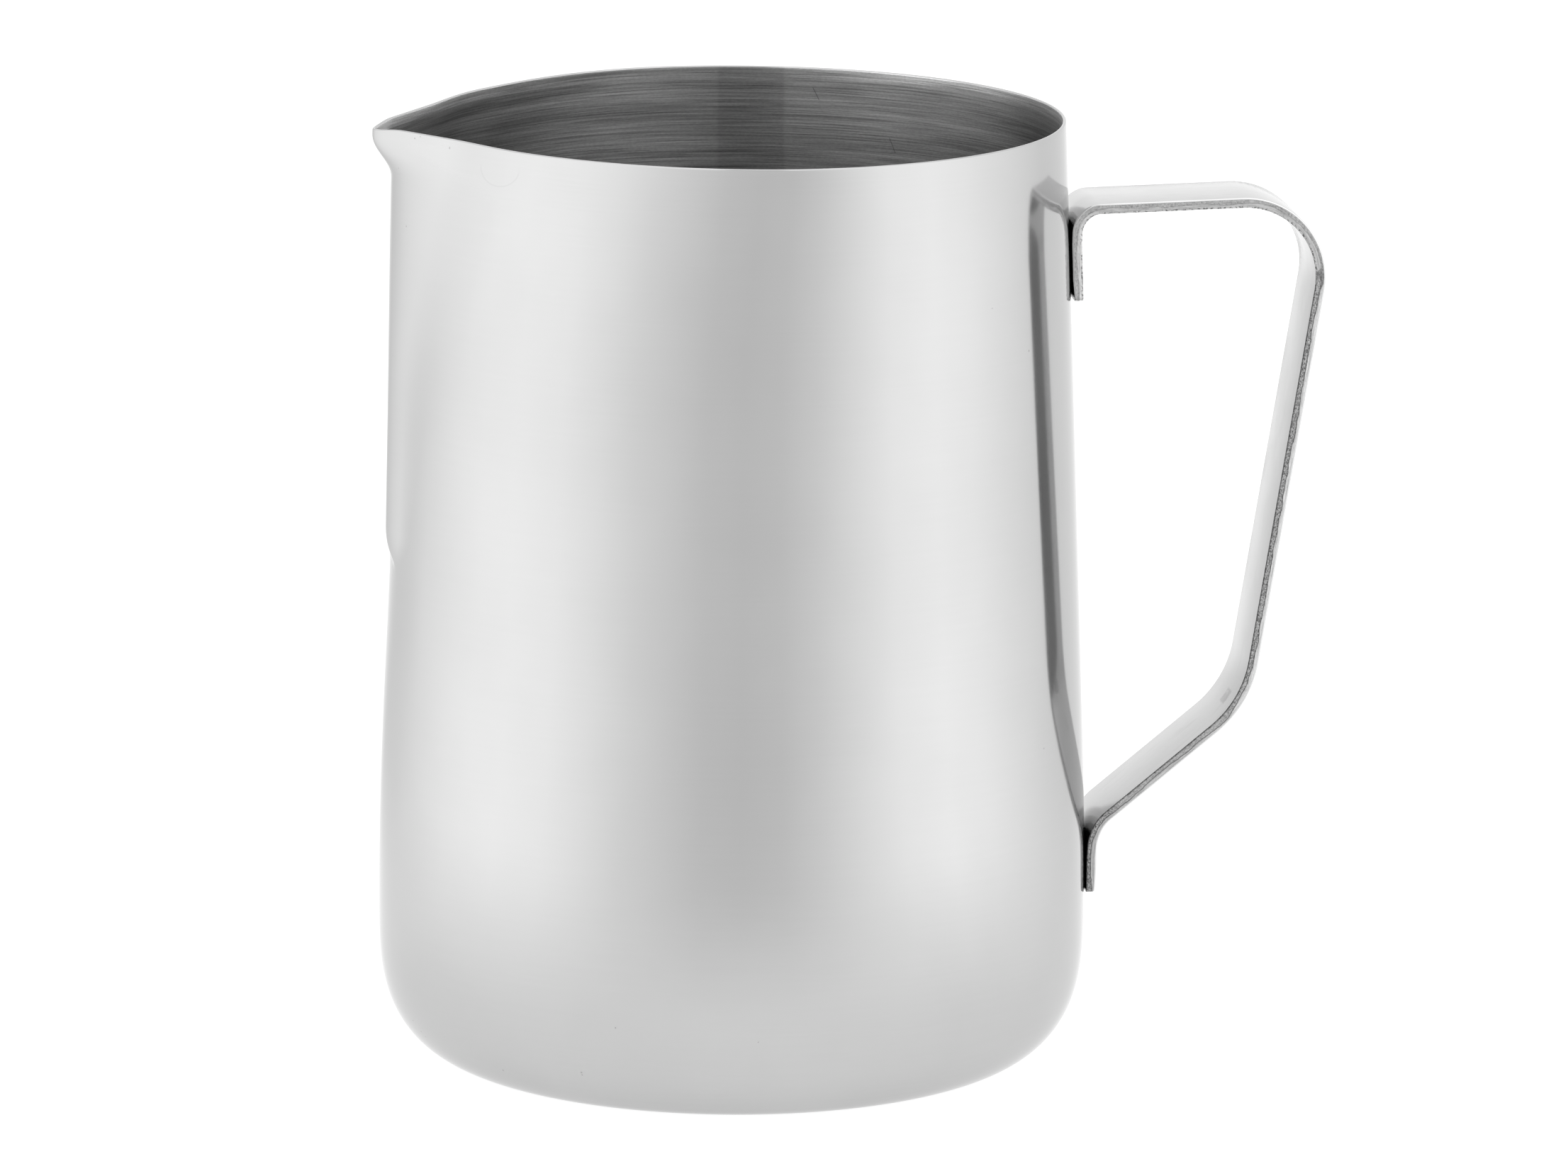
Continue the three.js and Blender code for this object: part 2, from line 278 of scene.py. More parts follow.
def wall_point(degrees, z, inset=0.0):
    """A point of the wall at an angle round from the handle and a height."""
    turn = math.radians(degrees)
    from_ridge = (turn - SPOUT_ANGLE + math.pi) % (2 * math.pi) - math.pi
    radius = float(round_radius(z) + spout_offset(np.array(from_ridge), np.array(z))) - inset
    return (radius * math.cos(turn), radius * math.sin(turn), z)


# ---- Mesh helpers ----
def make_object(name, mesh):
    piece = bpy.data.objects.new(name, mesh)
    bpy.context.scene.collection.objects.link(piece)
    return piece


def stitched_mesh(name, rings, closed_ends):
    """A mesh from equal rings of points, joined ring to ring and shut by a point at each end."""
    rings = np.asarray(rings)
    count, columns = rings.shape[:2]
    points = rings.reshape(-1, 3)
    index = np.arange(count * columns).reshape(count, columns)
    after = np.roll(index, -1, axis=1)
    quads = np.stack([index[:-1], after[:-1], after[1:], index[1:]], axis=-1).reshape(-1, 4)
    faces = quads.tolist()
    points = np.vstack([points, closed_ends])
    first, last = count * columns, count * columns + 1
    faces += [(first, int(b), int(a)) for a, b in zip(index[0], after[0])]
    faces += [(last, int(a), int(b)) for a, b in zip(index[-1], after[-1])]
    mesh = bpy.data.meshes.new(name)
    mesh.from_pydata((points * MM).tolist(), [], faces)
    mesh.validate()
    mesh.polygons.foreach_set("use_smooth", [True] * len(mesh.polygons))
    return mesh


# ---- The jug ----
def corner_heights():
    return BELLY_HEIGHT * (1 - np.sin(CORNER_TURNS) ** (2 / CORNER_RISE))


def wall_heights():
    lower = np.arange(BELLY_HEIGHT, FINE_ROWS[0], ROW_STEP * 1.6)
    ridge_end = np.arange(*FINE_ROWS, FINE_STEP)
    middle = np.arange(FINE_ROWS[1], LIP_START - 2, ROW_STEP)
    lip = np.arange(LIP_START - 2, RIM_HEIGHT - 0.5, FINE_STEP)
    return np.concatenate([lower, ridge_end, middle, lip])


def rim_points():
    """The rounded top of the rim, from its outer side to its inner side."""
    outer = float(round_radius(RIM_HEIGHT))
    points = []
    for turn in RIM_TURNS:
        inset = WALL / 2 - WALL / 2 * math.cos(turn)
        lift = RIM_ROUNDING * math.sin(turn) ** 0.8
        points.append((outer - inset, RIM_HEIGHT, RIM_HEIGHT - RIM_ROUNDING + lift))
    return points


def inner_corner_points():
    """The corner between wall and floor inside, offset from the outer face along its normal."""
    z = corner_heights()
    radius = BASE_RADIUS + (BELLY_RADIUS - BASE_RADIUS) * np.cos(CORNER_TURNS) ** (2 / CORNER_SPREAD)
    run, rise = np.gradient(radius), np.gradient(z)
    size = np.hypot(run, rise)
    return [(r + dz / s * WALL, 0.0, h - dr / s * WALL)
            for r, h, dr, dz, s in zip(radius, z, run, rise, size)]


def jug_profile():
    """Rows of the closed shell: radius, height at which the spout's shape is taken, and height."""
    heights = np.concatenate([corner_heights()[::-1][:-1], wall_heights()])
    underside = [(radius, 0.0, 0.0) for radius in FLOOR_RADII]
    outside = [(float(round_radius(z)), z, z) for z in heights]
    inside = [(float(round_radius(z)) - WALL, z, z) for z in heights[::-1] if z > BELLY_HEIGHT]
    floor = [(radius, 0.0, WALL) for radius in FLOOR_RADII[::-1]]
    return underside + outside + rim_points() + inside + inner_corner_points() + floor


def jug_mesh():
    even = math.pi - np.arange(JUG_COLUMNS) / JUG_COLUMNS * 2 * math.pi
    angle = even - SPOUT_CROWDING * np.sin(even)
    turned = angle + SPOUT_ANGLE
    rings = []
    for radius, shape_z, z in jug_profile():
        offset = spout_offset(angle, np.full_like(angle, shape_z)) if shape_z > 0 else 0.0
        moved = radius + offset
        height = z - dip_at(angle, z)
        rings.append(np.stack([moved * np.cos(turned), moved * np.sin(turned), height], axis=-1))
    return stitched_mesh("jug_shell", rings[::-1], [(0, 0, WALL), (0, 0, 0)])


def inside_faces(mesh):
    """One for each face of the brushed inside, and none for the polished outside and rim."""
    heights = [z for _, _, z in jug_profile()]
    rows = len(heights)
    crest = heights.index(max(heights))
    inner_rows = rows - crest - 1 - CREST_ROWS
    slots = np.zeros(len(mesh.polygons), dtype=np.int32)
    slots[: inner_rows * JUG_COLUMNS] = 1
    floor_fan = (rows - 1) * JUG_COLUMNS
    slots[floor_fan : floor_fan + JUG_COLUMNS] = 1
    return slots


def add_jug():
    jug = make_object("jug", jug_mesh())
    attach(jug, "root")
    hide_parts("jug_body")
    jug.data.materials.append(polished_wall())
    jug.data.materials.append(brushed_inside())
    jug.data.polygons.foreach_set("material_index", inside_faces(jug.data))


# ---- Strap handle ----
def bent_line(corners, bends, steps=22):
    """Points along a line of corners, each inner corner rounded by its bend radius."""
    points = [Vector(c) for c in corners]
    line = [points[0]]
    for before, corner, after, radius in zip(points, points[1:], points[2:], bends):
        back = (before - corner).normalized()
        ahead = (after - corner).normalized()
        half = back.angle(ahead) / 2
        centre = corner + (back + ahead).normalized() * (radius / math.sin(half))
        start = corner + back * (radius / math.tan(half))
        turn = (math.pi - 2 * half) * math.copysign(1, ahead.x * back.y - ahead.y * back.x)
        for step in range(steps + 1):
            spin = Matrix.Rotation(turn * step / steps, 2)
            line.append(centre + spin @ (start - centre))
    line.append(points[-1])
    return line


def even_line(line, step):
    """The same line with extra points on its long straight stretches."""
    out = [line[0]]
    for a, b in zip(line, line[1:]):
        pieces = max(1, round((b - a).length / step))
        out += [a.lerp(b, (i + 1) / pieces) for i in range(pieces)]
    return out


def strap_section(half_width):
    """Section of the strap: depth into its thickness, and place across its width."""
    corners = [
        (CUT_EDGE, CUT_EDGE - half_width, CUT_EDGE, -math.pi / 2),
        (CUT_EDGE, half_width - CUT_EDGE, CUT_EDGE, math.pi),
        (STRAP_THICKNESS - ROLLED_EDGE, half_width - ROLLED_EDGE, ROLLED_EDGE, math.pi / 2),
        (STRAP_THICKNESS - ROLLED_EDGE, ROLLED_EDGE - half_width, ROLLED_EDGE, 0.0),
    ]
    points = []
    for depth, side, radius, start in corners:
        for step in range(SECTION_STEPS + 1):
            turn = start - step / SECTION_STEPS * math.pi / 2
            points.append((depth + radius * math.cos(turn), side + radius * math.sin(turn)))
    return points


def foot_curve(place, total):
    """How far the strap bends back per square of the distance from its middle, along its length."""
    (first_full, first_end), (last_full, last_end) = FOOT_CURVE_FADES
    first = 1 - smoothstep(place, first_full, first_end)
    last = 1 - smoothstep(total - place, last_full, last_end)
    return FOOT_CURVE * float(first + last) / (STRAP_WIDTH / 2) ** 2


def strap_path():
    """Distances along the strap's inner face, and the x and z of the face at each."""
    line = even_line(bent_line(STRAP_CORNERS, STRAP_BENDS), STRAP_STEP)
    travelled = [0.0]
    for a, b in zip(line, line[1:]):
        travelled.append(travelled[-1] + (b - a).length)
    return travelled, [point.x for point in line], [point.y for point in line]


def strap_stations(travelled):
    """Distances along the strap at which it has a ring, closer together at its rounded corners."""
    total = travelled[-1]
    ends = [FOOT_CORNER * (1 - math.cos(turn)) for turn in FOOT_CORNER_TURNS]
    between = [place for place in travelled if FOOT_CORNER < place < total - FOOT_CORNER]
    return sorted(set(ends + [total - end for end in ends] + between))


def strap_ring(path, place):
    """The strap's section at a distance along it, in the part's frame."""
    travelled, xs, zs = path
    total = travelled[-1]
    x, z = np.interp(place, travelled, xs), np.interp(place, travelled, zs)
    tiny = 0.05
    before, after = max(place - tiny, 0), min(place + tiny, total)
    along = Vector((np.interp(after, travelled, xs) - np.interp(before, travelled, xs),
                    np.interp(after, travelled, zs) - np.interp(before, travelled, zs)))
    along.normalize()
    from_end = min(place, total - place)
    beside = FOOT_CORNER - min(from_end, FOOT_CORNER)
    trim = FOOT_CORNER - math.sqrt(max(FOOT_CORNER**2 - beside**2, 0))
    curve = foot_curve(place, total)
    squeezed, reach = FOOT_THINNING
    thinner = 1 - squeezed / STRAP_THICKNESS * max(1 - from_end / reach, 0)
    return [(x - along.y * depth * thinner - curve * side**2, side, z + along.x * depth * thinner)
            for depth, side in strap_section(STRAP_WIDTH / 2 - trim)]


def strap_mesh():
    path = strap_path()
    stations = strap_stations(path[0])
    rings = [strap_ring(path, place) for place in stations]
    middle = [np.mean(rings[0], axis=0), np.mean(rings[-1], axis=0)]
    mesh = stitched_mesh("strap", rings, middle)
    section = strap_section(STRAP_WIDTH / 2)
    places = [(station, depth, side) for station in stations for depth, side in section]
    places += [(end, STRAP_THICKNESS / 2, 0.0) for end in (0.0, path[0][-1])]
    attribute = mesh.attributes.new("strap_place", "FLOAT_VECTOR", "POINT")
    attribute.data.foreach_set("vector", np.array(places, dtype=np.float32).ravel())
    mesh.polygons.foreach_set("material_index", cut_faces(mesh, len(section), len(stations) - 1))
    return mesh


def cut_faces(mesh, columns, rows):
    """One for each face of the cut edges and ends, and none for the strap's flat and rolled faces."""
    column = np.arange(columns)
    corner = SECTION_STEPS + 1
    flat = (column == SECTION_STEPS) | (column >= 2 * corner) & (column <= 4 * corner - 2)
    slots = np.ones(len(mesh.polygons), dtype=np.int32)
    slots[: columns * rows] = np.tile(np.where(flat, 0, 1), rows)
    return slots


def add_strap():
    strap = make_object("strap_handle", strap_mesh())
    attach(strap, "root")
    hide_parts("handle_strap")
    strap.data.materials.append(strap_faces())
    strap.data.materials.append(sheared_edge())


# ---- Spot welds ----
def nugget_rings(middle, half):
    """A lens of melted steel, a little uneven round its edge."""
    turns = np.linspace(0, 2 * math.pi, 40, endpoint=False)
    swell = 1 - 0.05 * (1 + np.sin(3 * turns + middle.z)) / 2
    rings = []
    for tilt in np.linspace(-math.pi / 2, math.pi / 2, 13)[1:-1]:
        spread = math.cos(tilt) ** 0.35
        rings.append(np.stack([
            np.full_like(turns, middle.x + half.x * math.sin(tilt)),
            middle.y + half.y * spread * swell * np.cos(turns),
            middle.z + half.z * spread * swell * np.sin(turns)], axis=-1))
    return rings


def add_welds():
    material = weld_metal()
    for node in WELD_NODES:
        low, high = (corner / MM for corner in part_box(node))
        middle, half = (low + high) / 2, (high - low) / 2
        ends = [(low.x, middle.y, middle.z), (high.x, middle.y, middle.z)]
        weld = make_object(f"nugget_{node}", stitched_mesh("nugget", nugget_rings(middle, half), ends))
        weld.data.materials.append(material)
        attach(weld, "root")
        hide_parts(node)


# ---- Materials ----
class Nodes:
    """Short calls for building a node tree."""

    def __init__(self, tree):
        self.tree = tree

    def add(self, kind, **settings):
        node = self.tree.nodes.new(kind)
        for name, value in settings.items():
            setattr(node, name, value)
        return node

    def feed(self, socket, value):
        if isinstance(value, bpy.types.NodeSocket):
            self.tree.links.new(value, socket)
        else:
            socket.default_value = value

    def math(self, operation, *values):
        node = self.add("ShaderNodeMath", operation=operation)
        for socket, value in zip(node.inputs, values):
            self.feed(socket, value)
        return node.outputs[0]

    def times(self, product, *factors):
        for factor in factors:
            product = self.math("MULTIPLY", product, factor)
        return product

    def plus(self, total, *values):
        for value in values:
            total = self.math("ADD", total, value)
        return total

    def minus(self, value, other):
        return self.math("SUBTRACT", value, other)

    def off(self, value, middle):
        """Distance of a value from a middle, either way."""
        return self.math("ABSOLUTE", self.minus(value, middle))

    def gain(self, share, most):
        """A factor of one where a share is nothing, and more by the most where it is one."""
        return self.math("MULTIPLY_ADD", share, most, 1.0)

    def between(self, first, second, share):
        """The first value where a share is nothing, and the second where it is one."""
        return self.math("MULTIPLY_ADD", self.minus(second, first), share, first)

    def vector(self, operation, *values, out=0):
        node = self.add("ShaderNodeVectorMath", operation=operation)
        for socket, value in zip(node.inputs, values):
            self.feed(socket, value)
        return node.outputs[out]

    def part(self, vector, index):
        node = self.add("ShaderNodeSeparateXYZ")
        self.feed(node.inputs[0], vector)
        return node.outputs[index]

    def parts(self, vector):
        return [self.part(vector, index) for index in range(3)]

    def distance(self, place, other):
        return self.vector("DISTANCE", place, other, out=1)

    def ramp(self, value, low, high, to_low=0.0, to_high=1.0, smooth=True):
        kind = "SMOOTHSTEP" if smooth else "LINEAR"
        node = self.add("ShaderNodeMapRange", interpolation_type=kind)
        for socket, number in zip(node.inputs, (value, low, high, to_low, to_high)):
            self.feed(socket, number)
        return node.outputs[0]

    def vary(self, noise, to_low, to_high):
        """A value that a noise takes from a low to a high over the range it mostly fills."""
        return self.ramp(noise, 0.3, 0.7, to_low, to_high)

    def noise(self, place, scale, detail=2.0, roughness=0.5):
        """Noise with one scale for all directions, or with a scale for each."""
        if isinstance(scale, tuple):
            place, scale = self.vector("MULTIPLY", place, scale), 1.0
        node = self.add("ShaderNodeTexNoise")
        self.feed(node.inputs["Vector"], place)
        node.inputs["Scale"].default_value = scale
        node.inputs["Detail"].default_value = detail
        node.inputs["Roughness"].default_value = roughness
        return node.outputs["Fac"]

    def mix(self, factor, first, second):
        node = self.add("ShaderNodeMix", data_type="RGBA")
        for socket, value in zip((node.inputs[0], node.inputs[6], node.inputs[7]),
                                 (factor, first, second)):
            self.feed(socket, value)
        return node.outputs[2]

    def grey(self, value):
        node = self.add("ShaderNodeCombineColor")
        for socket in node.inputs[:3]:
            self.feed(socket, value)
        return node.outputs[0]

    def bump(self, height, distance):
        node = self.add("ShaderNodeBump")
        node.inputs["Strength"].default_value = 1.0
        node.inputs["Distance"].default_value = distance * MM
        self.feed(node.inputs["Height"], height)
        return node.outputs[0]


def new_metal(name, edge_tint=1.0):
    material = bpy.data.materials.new(name)
    material.use_nodes = True
    shader = material.node_tree.nodes["Principled BSDF"]
    shader.inputs["Metallic"].default_value = 1.0
    shader.inputs["Specular Tint"].default_value = (edge_tint, edge_tint, edge_tint, 1.0)
    return material, Nodes(material.node_tree), shader


def feed_surface(nodes, shader, colour, rough, relief, depth):
    """Give a shader its colour, its roughness and a relief of a depth in millimetres."""
    nodes.feed(shader.inputs["Base Color"], colour)
    nodes.feed(shader.inputs["Roughness"], rough)
    nodes.feed(shader.inputs["Normal"], nodes.bump(relief, depth))


def millimetres(nodes):
    """Place in the part's own frame, in millimetres."""
    place = nodes.add("ShaderNodeTexCoord").outputs["Object"]
    return nodes.vector("MULTIPLY", place, (1 / MM,) * 3)


def strap_place(nodes):
    """Distance along the strap, depth into it and place across it, in millimetres."""
    return nodes.add("ShaderNodeAttribute", attribute_name="strap_place").outputs["Vector"]


def near_points(nodes, place, points, radius):
    """One at any of a few points and falling to nothing at a radius from each."""
    total = 0.0
    for point, size in points:
        dot = nodes.ramp(nodes.distance(place, point), size * radius, size * radius * 0.4)
        total = nodes.math("MAXIMUM", dot, total)
    return total


def near_lines(nodes, place, lines):
    """One on any of a few short straight scratches inside, given by their two ends."""
    total = 0.0
    for ends in lines:
        start, end = (Vector(wall_point(*at, WALL)) for at in ends)
        run = end - start
        from_start = nodes.vector("SUBTRACT", place, tuple(start))
        along = nodes.vector("DOT_PRODUCT", from_start, tuple(run.normalized()), out=1)
        along = nodes.math("MINIMUM", nodes.math("MAXIMUM", along, 0.0), run.length)
        nearest = nodes.add("ShaderNodeVectorMath", operation="SCALE")
        nearest.inputs[0].default_value = tuple(run.normalized())
        nodes.feed(nearest.inputs["Scale"], along)
        away = nodes.distance(from_start, nearest.outputs[0])
        total = nodes.math("MAXIMUM", nodes.ramp(away, *SCRATCH_EDGE), total)
    return total


def crescent_scratch(nodes, place):
    """One on the lower half of a flattened ring scratched into the wall."""
    angle, height, radius = CRESCENT
    from_centre = nodes.vector("SUBTRACT", place, wall_point(angle, height))
    flattened = nodes.vector("MULTIPLY", from_centre, (1, 1, CRESCENT_FLAT))
    off_ring = nodes.off(nodes.vector("LENGTH", flattened, out=1), radius)
    below = nodes.ramp(nodes.minus(nodes.part(place, 2), height), *CRESCENT_ENDS)
    return nodes.times(nodes.ramp(off_ring, *CRESCENT_EDGE), below)


def polished_wall():
    material, nodes, shader = new_metal("polished_wall", EDGE_TINT)
    place = millimetres(nodes)
    cloud = nodes.noise(place, 0.035, 3.0)
    grain = nodes.noise(place, (0.05, 0.05, 2.6), 3.0)
    pits = near_points(nodes, place, [(wall_point(*at), size) for *at, size in PITS], PIT_RADIUS)
    scratch = crescent_scratch(nodes, place)
    tone = nodes.vary(cloud, STEEL_TONE * 0.985, STEEL_TONE * 1.015)
    tone = nodes.plus(tone, nodes.vary(grain, -0.002, 0.002))
    tone = nodes.minus(tone, nodes.times(scratch, 0.02))
    # Painted shade: the wall's colour darkens towards the base, where it reflects the shaded floor.
    foot_painted_shade = nodes.ramp(nodes.part(place, 2), 0.0, PAINTED_SHADE_FOOT_HEIGHT, PAINTED_SHADE_FOOT_TONE, 1.0)
    tone = nodes.times(tone, nodes.gain(pits, -0.26), foot_painted_shade)
    rough = nodes.vary(cloud, 0.085, 0.105)
    rough = nodes.plus(rough, nodes.times(scratch, 0.05), nodes.times(pits, 0.2))
    relief = nodes.minus(nodes.times(grain, 0.02), pits)
    feed_surface(nodes, shader, nodes.grey(tone), rough, relief, 0.012)
    return material


def inside_painted_light_and_shade(nodes, place):
    """Painted light and shade on the inside: a darker upright band of painted reflection, a side in
    painted shade, painted light under the rim and up the wall, and a painted highlight at the lip.
    """
    x, y, z = nodes.parts(place)
    azimuth = nodes.math("DEGREES", nodes.math("ARCTAN2", y, x))
    # Painted reflection: an upright band painted darker, standing in for the dark seen from the camera's
    # side.
    middle, half = PAINTED_DARK_REFLECTION_BAND
    band = nodes.ramp(nodes.off(azimuth, middle), half - 0.5, half + 0.5, PAINTED_DARK_REFLECTION_TONE, 1.0)
    # Painted shade: the inside is painted darker over its near half, from the spout round to the handle.
    from_handle = nodes.math("FLOORED_MODULO", azimuth, 360.0)
    from_painted_shade = nodes.math("MINIMUM", from_handle, nodes.minus(PAINTED_SHADE_SIDE, from_handle))
    side = nodes.ramp(from_painted_shade, *PAINTED_SHADE_END, PAINTED_SHADE_TONE, 1.0)
    below_rim = nodes.minus(RIM_HEIGHT, z)
    # Painted light: the inside is painted lighter towards the rim and darker further down.
    upper = nodes.ramp(below_rim, *PAINTED_LIGHT_UPPER_INSIDE, 0.9, 1.06)
    # Painted light: a band just under the rim is painted brighter, most to the left and right.
    sideways = nodes.ramp(nodes.math("ABSOLUTE", x), *PAINTED_LIGHT_RIM_SIDES, 0.12, 1.0)
    rim = nodes.gain(nodes.times(nodes.ramp(below_rim, *PAINTED_LIGHT_RIM_BAND), sideways), PAINTED_LIGHT_RIM_GAIN)
    # Painted highlight: the inside is painted brighter round the tip of the lip.
    from_tip = nodes.distance(place, wall_point(math.degrees(SPOUT_ANGLE), RIM_HEIGHT))
    lip = nodes.gain(nodes.ramp(from_tip, *PAINTED_LIP_HIGHLIGHT), PAINTED_LIP_HIGHLIGHT_GAIN)
    return nodes.times(band, side, upper, rim, lip)


def brushed_inside():
    material, nodes, shader = new_metal("brushed_inside")
    place = millimetres(nodes)
    fine = nodes.noise(place, (0.045, 0.045, 3.6), 2.0, 0.8)
    bold = nodes.noise(place, (0.03, 0.03, 1.4), 3.0, 0.75)
    grain = nodes.noise(place, (1.6, 1.6, 4.5), 1.0)
    broad = nodes.noise(place, (0.02, 0.02, 0.35), 2.0)
    lines = nodes.times(nodes.ramp(fine, 0.32, 0.68, 0.66, 1.34, smooth=False),
                        nodes.ramp(bold, 0.34, 0.68, 0.91, 1.09, smooth=False))
    scratched = nodes.gain(near_lines(nodes, place, INSIDE_SCRATCHES), -0.4)
    # The inside's tone is multiplied by its painted light and shade.
    tone = nodes.times(lines, nodes.vary(grain, 0.93, 1.07), nodes.vary(broad, 0.95, 1.05),
                       inside_painted_light_and_shade(nodes, place), scratched, INSIDE_TONE)
    feed_surface(nodes, shader, nodes.grey(tone), nodes.vary(broad, 0.34, 0.4), fine, 0.02)
    shader.inputs["Anisotropic"].default_value = 0.85
    shader.inputs["Anisotropic Rotation"].default_value = 0.25
    tangent = nodes.add("ShaderNodeTangent", direction_type="RADIAL", axis="Z")
    nodes.feed(shader.inputs["Tangent"], tangent.outputs[0])
    return material


def tool_mark(nodes, at):
    """One on the worn patch that the bending tool left inside the grip's lower bend."""
    along, depth, across = nodes.parts(at)
    half_length, half_width = TOOL_MARK_HALF
    long = nodes.ramp(nodes.off(along, TOOL_MARK[0]), half_length, half_length - 0.5)
    wide = nodes.ramp(nodes.off(across, TOOL_MARK[1]), half_width, half_width - 0.5)
    inner = nodes.ramp(depth, STRAP_THICKNESS * 0.6, STRAP_THICKNESS * 0.4)
    worn = nodes.noise(at, (0.9, 1.0, 0.9), 3.0, 0.65)
    return nodes.times(long, wide, inner, nodes.ramp(worn, 0.3, 0.5, 0.35, 1.0))


def rolled_painted_highlight(nodes, at):
    """One on the corners that the shear rolled over, from the bend above the upper foot onwards: the mask
    of their painted highlight.
    """
    along, depth, across = nodes.parts(at)
    outer = nodes.ramp(depth, STRAP_THICKNESS - ROLLED_EDGE, STRAP_THICKNESS - 0.1)
    side = nodes.math("ABSOLUTE", across)
    rolled = nodes.ramp(side, STRAP_WIDTH / 2 - ROLLED_EDGE, STRAP_WIDTH / 2 - 0.1)
    return nodes.times(outer, rolled, nodes.ramp(along, *PAINTED_HIGHLIGHT_STARTS))


def strap_faces():
    material, nodes, shader = new_metal("strap_faces")
    place, at = millimetres(nodes), strap_place(nodes)
    along = nodes.part(at, 0)
    cloud = nodes.noise(place, 0.09, 3.0, 0.55)
    smudge = nodes.noise(at, (0.12, 0.6, 0.5), 3.0, 0.6)
    drawn = nodes.noise(at, (0.04, 2.6, 2.6), 3.0)
    specks = nodes.noise(place, 1.6, 2.0, 0.7)
    tone = nodes.vary(cloud, STEEL_TONE * 1.02, STEEL_TONE * 0.98)
    tone = nodes.minus(tone, nodes.ramp(smudge, 0.52, 0.74, 0.0, STEEL_TONE * 0.08))
    tone = nodes.plus(tone, nodes.vary(drawn, -0.008, 0.008))
    held = nodes.times(nodes.ramp(along, *GRIP_STARTS), nodes.ramp(along, *GRIP_ENDS, 1, 0))
    dirt = nodes.ramp(specks, 0.76, 0.82, 1.0, 0.6)
    patch = tool_mark(nodes, at)
    # Painted highlight: the rolled corners are painted up to 0.45 brighter.
    tone = nodes.times(tone, nodes.ramp(held, 0, 1, 1.02, 0.88), nodes.gain(rolled_painted_highlight(nodes, at), 0.45),
                       dirt, nodes.ramp(patch, 0, 1, 1, 0.9))
    rough = nodes.plus(nodes.vary(cloud, 0.12, 0.17), nodes.times(patch, 0.2))
    feed_surface(nodes, shader, nodes.grey(tone), rough, drawn, 0.004)
    return material


def sheared_edge():
    """The cut edge: torn and gritty on one side, burnished by the shear on the other."""
    material, nodes, shader = new_metal("sheared_edge")
    at = strap_place(nodes)
    along, depth, _ = nodes.parts(at)
    grip = nodes.ramp(along, *GRIP_STARTS)
    wander = nodes.vary(nodes.noise(at, (0.09, 0.0, 0.1), 4.0, 0.6), -0.3, 0.3)
    line = nodes.plus(nodes.between(nodes.minus(STRAP_THICKNESS, depth), depth, grip), wander)
    lower = nodes.times(nodes.ramp(along, *EDGE_SMOOTHS), nodes.ramp(along, *LOWER_FOOT_STARTS, 0.55, 0))
    torn = nodes.times(nodes.ramp(line, 1.12, 0.9), nodes.ramp(grip, 0, 1, 0.55, 1.0),
                       nodes.minus(1.0, lower))
    grit = nodes.noise(at, (3.2, 3.8, 1.0), 3.0, 0.8)
    dark = nodes.ramp(grit, 0.36, 0.64, 0.06, 0.46, smooth=False)

    streaks = nodes.noise(at, (0.3, 4.5, 1.0), 3.0, 0.65)
    specks = nodes.noise(at, (2.6, 2.6, 1.0), 2.0, 0.6)
    border = nodes.plus(nodes.ramp(depth, 0.42, 0.12), 0.25)
    specked = nodes.ramp(nodes.times(nodes.ramp(specks, 0.5, 0.62), border), 0, 1, 1, 0.3)
    bright = nodes.plus(nodes.ramp(grip, 0, 1, 0.92, 1.12), nodes.ramp(along, *UPPER_FOOT_ENDS, 0.24, 0))
    bright = nodes.minus(bright, nodes.ramp(along, *LOWER_FOOT_DARKENS, 0, 0.34))
    bright = nodes.minus(bright, nodes.times(lower, 0.5))
    light = nodes.times(nodes.ramp(streaks, 0.32, 0.68, 0.34, 0.58, smooth=False), specked, bright)

    lip = nodes.ramp(nodes.off(line, 0.95), 0.16, 0.04)
    crack = nodes.math("MAXIMUM", lip, nodes.times(grip, nodes.ramp(depth, 0.3, 0.12)))
    crack = nodes.times(crack, nodes.ramp(grip, 0, 1, 0.4, 1.0))
    tone = nodes.times(nodes.between(light, dark, torn), nodes.ramp(crack, 0, 1, 1, 0.45))
    relief = nodes.times(grit, nodes.ramp(torn, 0, 1, 0.25, 1.0))
    feed_surface(nodes, shader, nodes.grey(tone), nodes.ramp(torn, 0, 1, 0.32, 0.5), relief, 0.1)
    return material


def weld_metal():
    material, nodes, shader = new_metal("weld_metal")
    place = millimetres(nodes)
    tint = nodes.noise(place, 0.9, 3.0)
    colour = nodes.mix(nodes.ramp(tint, 0.35, 0.65), (0.3, 0.25, 0.2, 1), (0.36, 0.37, 0.4, 1))
    feed_surface(nodes, shader, colour, nodes.vary(tint, 0.35, 0.6), nodes.noise(place, 4.0, 3.0), 0.04)
    return material


# ---- Stage ----
def front_direction():
    return (-math.sin(CAMERA_TURN), -math.cos(CAMERA_TURN), 0.0)


def around(nodes, way):
    """Brightness of the studio in a level direction from the jug."""
    azimuth = nodes.math("ARCTAN2", nodes.part(way, 1), nodes.part(way, 0))
    from_back = nodes.plus(azimuth, math.pi * 1.5 + CAMERA_TURN)
    turns = nodes.math("FRACT", nodes.math("DIVIDE", from_back, 2 * math.pi))
    ramp = nodes.add("ShaderNodeValToRGB")
    stops = ramp.color_ramp.elements
    for index, (degrees, value) in enumerate(AROUND):
        at = (degrees + 90) / 360
        stop = stops[index] if index < 2 else stops.new(at)
        stop.position = at
        stop.color = (value / 2,) * 3 + (1,)
    nodes.feed(ramp.inputs[0], turns)
    return nodes.times(nodes.part(ramp.outputs[0], 0), 2)


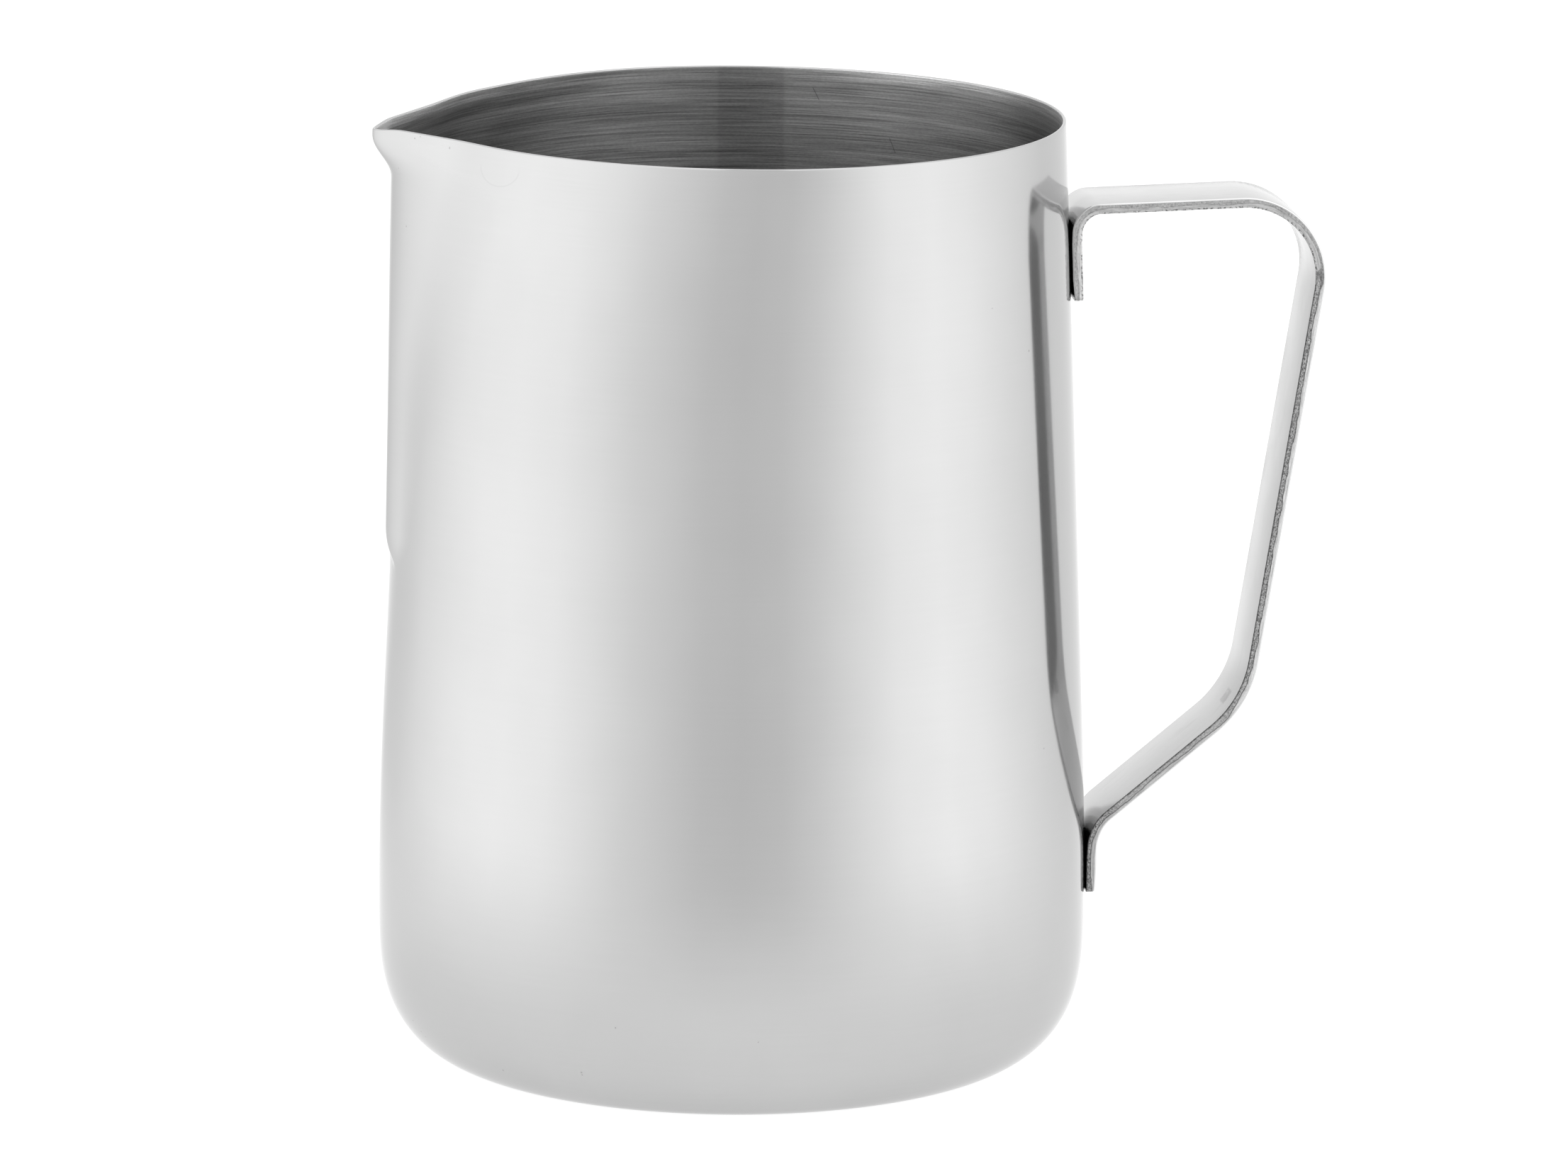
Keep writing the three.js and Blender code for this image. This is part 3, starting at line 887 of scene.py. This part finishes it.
def add_floor():
    bpy.ops.mesh.primitive_plane_add(size=40)
    floor = bpy.context.object
    floor.name = "floor"
    material = bpy.data.materials.new("pale_floor")
    material.use_nodes = True
    nodes = Nodes(material.node_tree)
    shader = material.node_tree.nodes["Principled BSDF"]
    place = nodes.add("ShaderNodeTexCoord").outputs["Object"]
    # Painted light on the floor: its colour and glow are even near the jug, and further out brighter to
    # the sides and darker in front.
    far = nodes.ramp(nodes.vector("LENGTH", place, out=1), *PAINTED_NEAR_FLOOR_EDGE)
    bright = nodes.between(PAINTED_NEAR_FLOOR_LIGHT, around(nodes, place), far)
    nodes.feed(shader.inputs["Base Color"], nodes.grey(nodes.times(bright, FLOOR_ALBEDO)))
    nodes.feed(shader.inputs["Emission Strength"], nodes.times(bright, FLOOR_GLOW))
    shader.inputs["Emission Color"].default_value = (1, 1, 1, 1)
    shader.inputs["Roughness"].default_value = 0.9
    shader.inputs["Specular IOR Level"].default_value = 0.0
    floor.data.materials.append(material)


def add_world():
    world = bpy.data.worlds.new("studio")
    bpy.context.scene.world = world
    world.use_nodes = True
    nodes = Nodes(world.node_tree)
    background = world.node_tree.nodes["Background"]
    way = nodes.add("ShaderNodeTexCoord").outputs["Generated"]
    up = nodes.math("ARCSINE", nodes.part(nodes.vector("NORMALIZE", way), 2))
    level = nodes.vector("NORMALIZE", nodes.vector("MULTIPLY", way, (1, 1, 0)))
    facing = nodes.vector("DOT_PRODUCT", level, front_direction(), out=1)
    sky = nodes.ramp(facing, -0.3, 0.3, SKY_BACK, SKY_FRONT)
    sky = nodes.between(sky, SKY_GAP, nodes.ramp(facing, *SKY_GAP_EDGE))
    sky = nodes.between(sky, SKY_TOP, nodes.ramp(up, SKY_TOP_FROM, SKY_TOP_FROM + 0.2))
    strength = nodes.between(around(nodes, way), sky, nodes.ramp(up, SKY_LOW, SKY_HIGH))
    background.inputs["Color"].default_value = (1, 1, 1, 1)
    nodes.feed(background.inputs["Strength"], strength)


def add_camera():
    data = bpy.data.cameras.new("camera")
    data.sensor_width = SENSOR_WIDTH
    data.lens = CAMERA_LENS
    data.clip_end = 50
    camera = bpy.data.objects.new("camera", data)
    bpy.context.scene.collection.objects.link(camera)
    turn = Matrix.Rotation(-CAMERA_TURN, 3, "Z")
    camera.location = turn @ Vector((0, -CAMERA_DISTANCE, CAMERA_HEIGHT)) * MM
    look = Matrix.Rotation(-CAMERA_TURN - CAMERA_YAW, 3, "Z")
    look = look @ Matrix.Rotation(math.pi / 2 - CAMERA_PITCH, 3, "X")
    look = look @ Matrix.Rotation(CAMERA_ROLL, 3, "Z")
    camera.rotation_euler = look.to_euler()
    bpy.context.scene.camera = camera


add_jug()
add_strap()
add_welds()
add_floor()
add_world()
add_camera()
bpy.context.scene.view_settings.view_transform = "Standard"
